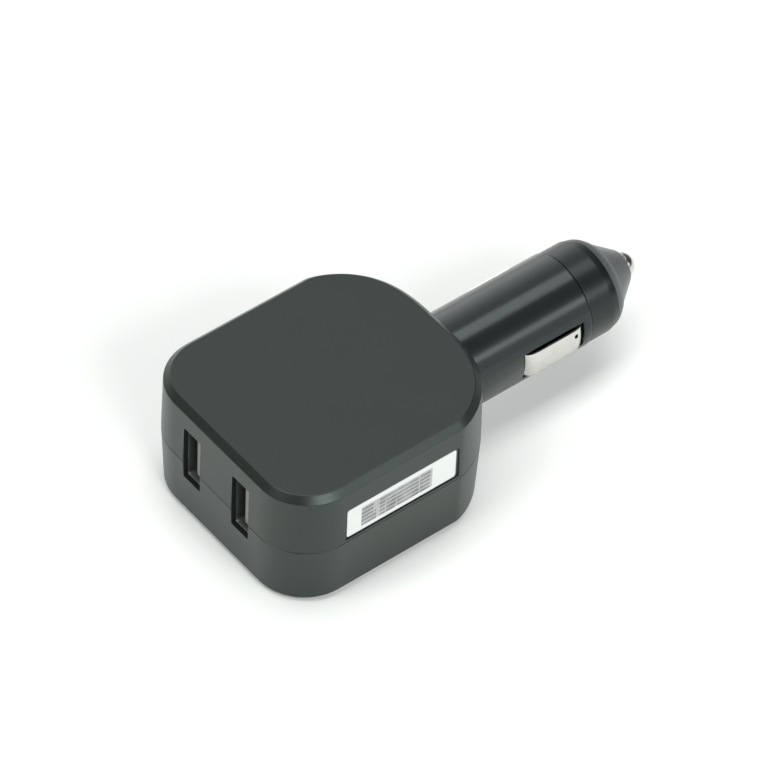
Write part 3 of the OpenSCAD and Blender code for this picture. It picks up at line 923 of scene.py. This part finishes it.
def collar(start, end):
    """Screwed collar: a straight skirt, a slight taper and a round shoulder down to the nose."""
    lip = NOSE_R + FIT
    root = NECK_R + FIT
    land_end = start + COLLAR_LAND
    lip_back = end - COLLAR_LIP_LEN
    drop = COLLAR_FRONT_R - lip - COLLAR_LIP_W
    steps = 16
    profile = [
        (root, start), (COLLAR_R, start, COLLAR_SEAM_R),
        (COLLAR_R, land_end - COLLAR_LAND_END), (COLLAR_R, land_end)]
    for k in range(steps):
        share = k / steps
        profile.append((COLLAR_FRONT_R - drop * share ** SHOULDER_CURVE, end - SHOULDER * (1 - share)))
    profile += [(COLLAR_FRONT_R - drop, end, 0.06), (lip, end, 0.05), (lip, lip_back), (root, lip_back)]
    return turned("collar", eased(profile, 0.03, 6))


def nose(flange, collar_end, end):
    """Insulating nose: a flange under the collar, a cone and a countersunk mouth."""
    bore = TIP_R + NOSE_BORE_FIT
    pocket = TIP_FLANGE_R + NOSE_BORE_FIT
    flange_front = flange + NOSE_FLANGE_T
    seat = end - NOSE_SEAT
    return turned("nose", eased([
        (pocket, flange), (NOSE_FLANGE_R, flange), (NOSE_FLANGE_R, flange_front), (NOSE_R, flange_front),
        (NOSE_R, collar_end, NOSE_EDGE_R), (NOSE_END_R, end - NOSE_END_BACK, NOSE_END_EDGE_R),
        (TIP_R + NOSE_MOUTH_W, end - NOSE_MOUTH_BACK, 0.08), (bore, end - NOSE_MOUTH_DEPTH),
        (bore, seat), (pocket, seat)], 0.1))


def tip(back, seat, end):
    """Sprung pin with a round end."""
    steps = 20
    profile = [(0, back), (TIP_FLANGE_R, back), (TIP_FLANGE_R, seat), (TIP_R, seat)]
    for k in range(steps):
        a = math.pi / 2 * k / steps
        profile.append((TIP_R * math.cos(a), end - TIP_R + TIP_R * math.sin(a)))
    profile.append((0, end))
    return turned("tip_pin", profile, steps=96)


def coil(lo, hi):
    """Coil spring about the plug's axis, drawn along its wire between two heights."""
    per_turn = 18
    sides = 8
    radius = hi.x - SPRING_WIRE_R
    rise = (hi.y - lo.y - 2 * SPRING_WIRE_R) / SPRING_TURNS
    ring = []
    for n in range(sides):
        b = math.tau * n / sides
        ring.append((SPRING_WIRE_R * math.cos(b), SPRING_WIRE_R * math.sin(b)))
    loops = []
    for k in range(SPRING_TURNS * per_turn + 1):
        a = math.tau * k / per_turn
        y = lo.y + SPRING_WIRE_R + rise * k / per_turn
        loops.append([
            ((radius + out) * math.cos(a), y + up, (radius + out) * math.sin(a))
            for out, up in ring])
    return drawn_through("tip_coil", loops, 60)


def bow_line(middle, crown):
    """Section of a side contact as (radius, y) points: a tab, the flat-topped bow and a tab."""
    half = SIDE_LEN / 2
    foot = BARREL_R - SIDE_FOOT_SINK
    tab = BORE_R - FIT
    steps = 24
    near = middle - half
    far = middle + half
    line = [(tab, near - TAB_LEN), (tab, near - TAB_BEND), (tab + TAB_BEND, near)]
    for k in range(steps + 1):
        y = -half + 2 * half * k / steps
        line.append((foot + (crown - foot) * (1 - abs(y / half) ** BOW_FLAT), middle + y))
    line += [(tab + TAB_BEND, far), (tab, far + TAB_BEND), (tab, far + TAB_LEN)]
    return line


def side_bow(middle, crown):
    """Bowed contact on the +X side: a pressed strip with eased edges and a small hole near its front."""
    piece = chain("side_bow", [(r, y, 0) for r, y in bow_line(middle, crown)])
    bpy.ops.mesh.select_all(action="SELECT")
    bpy.ops.transform.rotate(value=math.radians(SIDE_ANGLE / 2), orient_axis="Y", center_override=(0, 0, 0))
    bpy.ops.mesh.spin(steps=20, angle=math.radians(-SIDE_ANGLE), center=(0, 0, 0), axis=(0, 1, 0))
    closed(piece)
    modified(piece, "SOLIDIFY", thickness=SHEET_T * MM, offset=-1)
    rise = math.radians(HOLE_TURN)
    hole_y = middle + SIDE_LEN / 2 - HOLE_FROM_END
    bpy.ops.mesh.primitive_cylinder_add(vertices=32, radius=HOLE_R * MM, depth=8 * MM,
        rotation=(0, math.pi / 2 - rise, 0),
        location=(BARREL_R * MM * math.cos(rise), hole_y * MM, BARREL_R * MM * math.sin(rise)))
    cut(piece, settled(bpy.context.object))
    return bevelled(piece, SIDE_EDGE)


def room(tree):
    """Soft white surroundings: bright towards -X, dimmer across to +X, and dark in front and far behind."""
    place = new_node(tree, "ShaderNodeTexCoord", "Generated")
    background = tree.nodes["Background"]
    for letter, socket, stops in (("X", "Color", LIGHT_ACROSS), ("Y", "Strength", LIGHT_ALONG)):
        direction = Value(tree, new_node(tree, "ShaderNodeSeparateXYZ", letter, sockets={0: place}))
        level = new_node(tree, "ShaderNodeValToRGB", 0, {"stops": stops}, {0: direction * 0.5 + 0.5})
        feed(tree, background.inputs[socket], level)


def photo_camera():
    """The photograph's camera, aimed a little off the plug's axis to frame the object as it does."""
    azimuth = math.radians(CAMERA_AZIMUTH)
    elevation = math.radians(CAMERA_ELEVATION)
    roll = math.radians(CAMERA_ROLL)
    back = Vector((
        math.sin(azimuth) * math.cos(elevation), -math.cos(azimuth) * math.cos(elevation),
        math.sin(elevation)))
    level = Vector((math.cos(azimuth), math.sin(azimuth), 0))
    upright = back.cross(level)
    right = level * math.cos(roll) + upright * math.sin(roll)
    up = upright * math.cos(roll) - level * math.sin(roll)
    aim = Vector(CAMERA_AIM) - level * CAMERA_ASIDE - upright * CAMERA_DOWN
    lens = bpy.data.cameras.new("camera")
    lens.sensor_width = SENSOR_W
    lens.lens = SENSOR_W * FOCAL_PX / FRAME_PX
    lens.clip_start = 0.05
    lens.clip_end = 20
    camera = bpy.data.objects.new("camera", lens)
    bpy.context.scene.collection.objects.link(camera)
    turn = Matrix((right, up, back)).transposed().to_4x4()
    camera.matrix_world = Matrix.Translation((aim + back * CAMERA_DISTANCE) * MM) @ turn
    bpy.context.scene.camera = camera


def soft_light(name, place, target, width, height, power):
    """Rectangular soft light at a place in metres, facing the target."""
    data = bpy.data.lights.new(name, "AREA")
    data.shape = "RECTANGLE"
    data.size = width
    data.size_y = height
    data.energy = power
    lamp = bpy.data.objects.new(name, data)
    bpy.context.scene.collection.objects.link(lamp)
    lamp.location = place
    lamp.rotation_euler = (Vector(target) - Vector(place)).to_track_quat("-Z", "Y").to_euler()


def studio(floor_z):
    """Pale floor at a height in metres, soft white surroundings, lamps and the photograph's camera."""
    bpy.ops.mesh.primitive_plane_add(size=FLOOR_SIZE, location=(0, 0, floor_z))
    floor = settled(bpy.context.object)
    floor.name = floor.data.name = "floor"
    dress(floor, floor_stock())

    world = bpy.data.worlds.new("studio")
    bpy.context.scene.world = world
    world.use_nodes = True
    room(world.node_tree)
    bpy.context.scene.view_settings.view_transform = "Standard"
    for lamp in LAMPS:
        soft_light(*lamp)
    photo_camera()


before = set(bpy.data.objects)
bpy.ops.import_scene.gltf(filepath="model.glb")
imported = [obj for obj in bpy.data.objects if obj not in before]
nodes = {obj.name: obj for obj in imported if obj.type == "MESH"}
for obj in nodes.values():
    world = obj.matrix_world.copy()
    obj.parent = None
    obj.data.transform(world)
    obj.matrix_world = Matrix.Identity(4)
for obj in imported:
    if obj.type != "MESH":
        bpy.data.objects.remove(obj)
deselect()
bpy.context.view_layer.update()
studio((-HALF_H - FLOOR_GAP) * MM)

label_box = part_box("label")
black = head_plastic()
gloss = plug_plastic()
nickel = nickel_plate()
steel = port_steel()
insulator = tongue_plastic()

upper = upper_shell(label_box)
lower = housing("head_lower_shell", -1)
sticker = label_sheet(label_box)

barrel_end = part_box("plug_barrel")[1].y / MM
collar_start, collar_end = (corner.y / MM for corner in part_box("collar_ring"))
nose_start, nose_end = (corner.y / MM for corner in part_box("nose_cone"))
tip_start, tip_end = (corner.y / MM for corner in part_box("tip_contact"))
bow_lo, bow_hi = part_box("side_contact_right")
side_y = (bow_lo.y + bow_hi.y) / 2 / MM
window = (side_y - SIDE_LEN / 2 - WINDOW_ROOM, side_y + SIDE_LEN / 2 + WINDOW_ROOM)
tube = barrel(barrel_end, collar_start - FIT, window)
ring = collar(collar_start, collar_end)
cone = nose(nose_start, collar_end, nose_end)
pin = tip(tip_start, nose_end - NOSE_SEAT - TIP_SEAT_GAP, tip_end)
coil_lo, coil_hi = (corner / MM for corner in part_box("tip_spring"))
spring = coil(coil_lo, coil_hi)
bow_right = side_bow(side_y, bow_hi.x / MM)
bow_left = copied(bow_right, "side_bow_left", flip_x=True)
bow_right.name = bow_right.data.name = "side_bow_right"

can_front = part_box("usb_shell_right")[0].y / MM
can = port_can(can_front)
tongue = port_tongue(can_front)
# Where the collar's shoulder turns matt and gets its painted highlight band
matt_and_sheen_from = collar_end - SHOULDER + SHOULDER_MATT_AND_SHEEN_FROM
pieces = [
    (upper, "housing", "housing_plastic", black, "upper_housing"),
    (lower, "housing", "housing_plastic", black, "lower_housing"),
    (sticker, "housing", "label_stock", label_stock(*label_box), "label"),
    (tube, "housing", "plug_plastic", gloss, "plug_barrel"),
    (ring, "housing", "plug_plastic", collar_plastic(matt_and_sheen_from), "collar_ring"),
    (cone, "housing", "nose_plastic", nose_plastic(), "nose_cone"),
    (pin, "tip", "nickel_plate", nickel, "tip_contact"),
    (spring, "housing", "spring_wire", spring_wire(), "tip_spring"),
    (bow_right, "side_right", "nickel_plate", nickel, "side_contact_right"),
    (bow_left, "side_left", "nickel_plate", nickel, "side_contact_left"),
]
for side, word in ((-1, "left"), (1, "right")):
    place = (side * PORT_X, 0, PORT_Z)
    own_can = copied(can, "port_can_" + word, place)
    own_tongue = copied(tongue, "port_tongue_" + word, place)
    pieces.append((own_can, "housing", "port_steel", steel, "usb_shell_" + word))
    pieces.append((own_tongue, "housing", "tongue_plastic", insulator, "usb_tongue_" + word))
bpy.data.objects.remove(can)
bpy.data.objects.remove(tongue)
for piece, body, slot, material, node in pieces:
    dress(piece, material)
    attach(piece, body)
    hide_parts(node)
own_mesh(spring)

finishes = {
    "fuse_glass": fuse_tube(),
    "fuse_caps": nickel,
    "fuse_link": plated("fuse_wire", opaque(0.6, 0.6, 0.58), opaque(0.72, 0.72, 0.7), 0.3),
    "spring_plate": plated("tinned_strip", opaque(0.58, 0.56, 0.5), opaque(0.7, 0.68, 0.62), 0.32),
    "tip_lead": plain_part("lead_cover", opaque(0.32, 0.01, 0.008), opaque(0.4, 0.016, 0.012), 0.4),
    "inner_sleeve": sleeve_plastic(),
    "main_board": board_laminate(),
    "usb_contacts_left": plated("gold_plate", opaque(0.68, 0.45, 0.16), opaque(0.8, 0.56, 0.22), 0.22),
    "choke_core": plain_part("ferrite", opaque(0.03, 0.03, 0.032), opaque(0.05, 0.05, 0.052), 0.6),
    "choke_winding": copper_wire(),
    "input_capacitor": plain_part("capacitor_sleeve",
        opaque(0.008, 0.01, 0.05), opaque(0.012, 0.016, 0.07), 0.3),
    "converter_chip": plain_part("chip_resin", opaque(0.012, 0.012, 0.013), opaque(0.02, 0.02, 0.021), 0.55),
    "chip_resistors": plain_part("chip_ceramic", opaque(0.35, 0.3, 0.22), opaque(0.45, 0.39, 0.28), 0.5),
}
finishes["ground_rail_left"] = finishes["ground_rail_right"] = finishes["spring_plate"]
finishes["usb_contacts_right"] = finishes["usb_contacts_left"]
finishes["output_capacitor"] = finishes["input_capacitor"]
finishes["port_chip"] = finishes["diode"] = finishes["converter_chip"]
finishes["chip_capacitors"] = finishes["chip_resistors"]
for node, material in finishes.items():
    dress(nodes[node], material)
